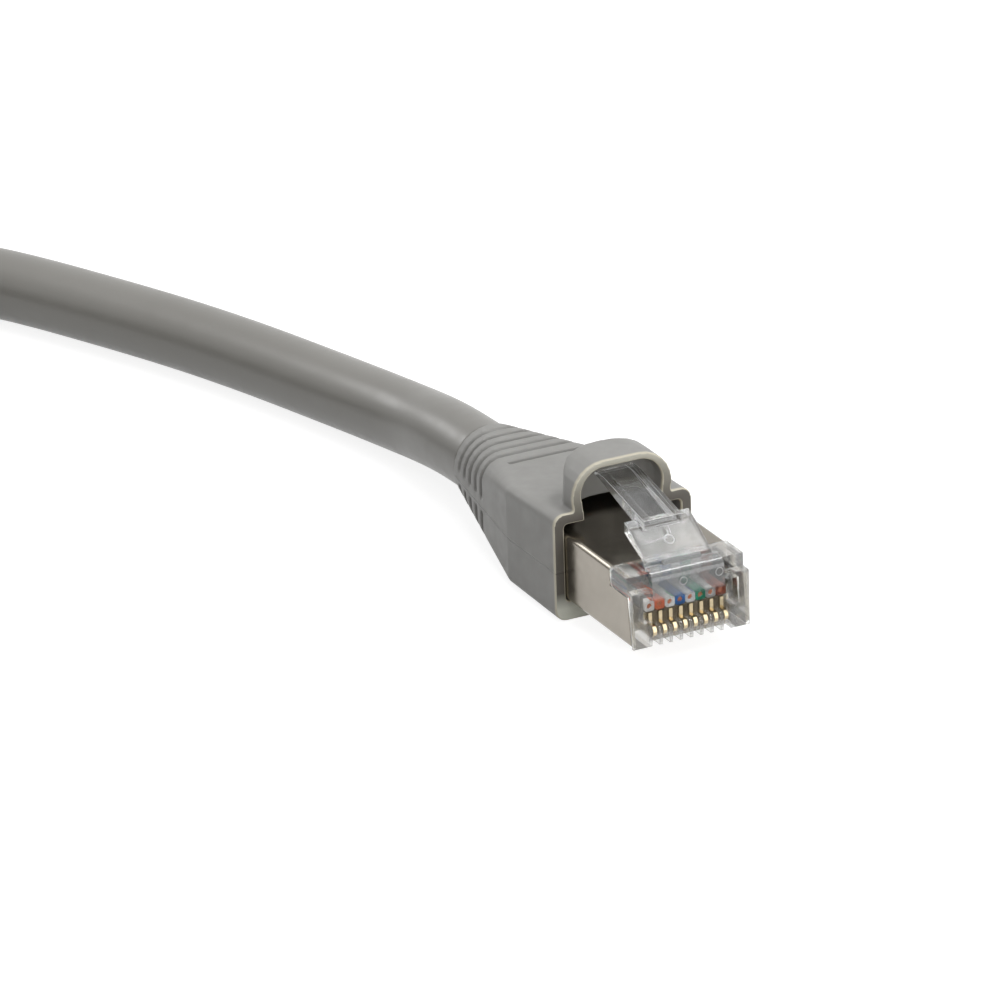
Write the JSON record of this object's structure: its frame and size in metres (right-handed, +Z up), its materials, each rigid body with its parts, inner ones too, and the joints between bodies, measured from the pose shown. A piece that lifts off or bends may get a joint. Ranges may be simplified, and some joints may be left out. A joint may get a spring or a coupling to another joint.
{
  "type": "ethernet patch cable",
  "caption": "Shielded 8P8C ethernet patch cord with clear plugs, sprung latches, grey snag-free boots and a round jacketed cable in a loose tied coil.",
  "frame": {"origin": "under the middle of the near plug and its boot, at the height of the boot's lowest edge", "axes": "+X is the way the near plug goes into its socket, +Z is up from the contact side to the latch side, +Y is to the left seen from behind the plug"},
  "size_m": [0.1266, 0.1368, 0.0167],
  "materials": {
    "clear_plastic": "clear polycarbonate, slightly smoky",
    "nickel_shield": "nickel plated sheet, satin",
    "gold_contacts": "gold plated, polished",
    "copper": "bare copper, cut ends",
    "boot_plastic": "grey moulded, fine matt texture",
    "jacket_plastic": "grey extruded jacket, satin",
    "tinned_braid": "tinned copper braid",
    "foil": "aluminium foil",
    "strap_fabric": "black hook and loop strap",
    "insulation_white_orange": "white with an orange stripe",
    "insulation_orange": "satin",
    "insulation_white_green": "white with a green stripe",
    "insulation_blue": "satin",
    "insulation_white_blue": "white with a blue stripe",
    "insulation_green": "satin",
    "insulation_white_brown": "white with a brown stripe",
    "insulation_brown": "satin"
  },
  "bodies": {
    "cord_set": {"near_plug_housing": "clear_plastic", "near_shield": "nickel_shield", "near_contacts": "gold_contacts", "near_load_bar": "clear_plastic", "near_wire_1_white_orange": "insulation_white_orange", "near_wire_2_orange": "insulation_orange", "near_wire_3_white_green": "insulation_white_green", "near_wire_4_blue": "insulation_blue", "near_wire_5_white_blue": "insulation_white_blue", "near_wire_6_green": "insulation_green", "near_wire_7_white_brown": "insulation_white_brown", "near_wire_8_brown": "insulation_brown", "near_copper_cores": "copper", "near_boot": "boot_plastic", "near_jacket_end": "jacket_plastic", "near_braid": "tinned_braid", "near_foil_screen": "foil", "far_plug_housing": "clear_plastic", "far_shield": "nickel_shield", "far_contacts": "gold_contacts", "far_load_bar": "clear_plastic", "far_wire_1_white_orange": "insulation_white_orange", "far_wire_2_orange": "insulation_orange", "far_wire_3_white_green": "insulation_white_green", "far_wire_4_blue": "insulation_blue", "far_wire_5_white_blue": "insulation_white_blue", "far_wire_6_green": "insulation_green", "far_wire_7_white_brown": "insulation_white_brown", "far_wire_8_brown": "insulation_brown", "far_copper_cores": "copper", "far_boot": "boot_plastic", "far_jacket_end": "jacket_plastic", "far_braid": "tinned_braid", "far_foil_screen": "foil", "cable_run": "jacket_plastic", "cable_coil": "jacket_plastic", "cable_tail": "jacket_plastic", "cable_tie": "strap_fabric"},
    "near_latch": {"near_latch": "clear_plastic"},
    "far_latch": {"far_latch": "clear_plastic"}
  },
  "joints": [
    {"name": "near_latch_hinge", "type": "hinge", "parent": "cord_set", "child": "near_latch", "pos_m": [0.01675, 0, 0.0085], "axis": [0, -1, 0], "range_deg": [0, 16], "stiffness_Nm_per_rad": 0.05},
    {"name": "far_latch_hinge", "type": "hinge", "parent": "cord_set", "child": "far_latch", "pos_m": [0.01675, -0.123, 0.0085], "axis": [0, -1, 0], "range_deg": [0, 16], "stiffness_Nm_per_rad": 0.05}
  ]
}
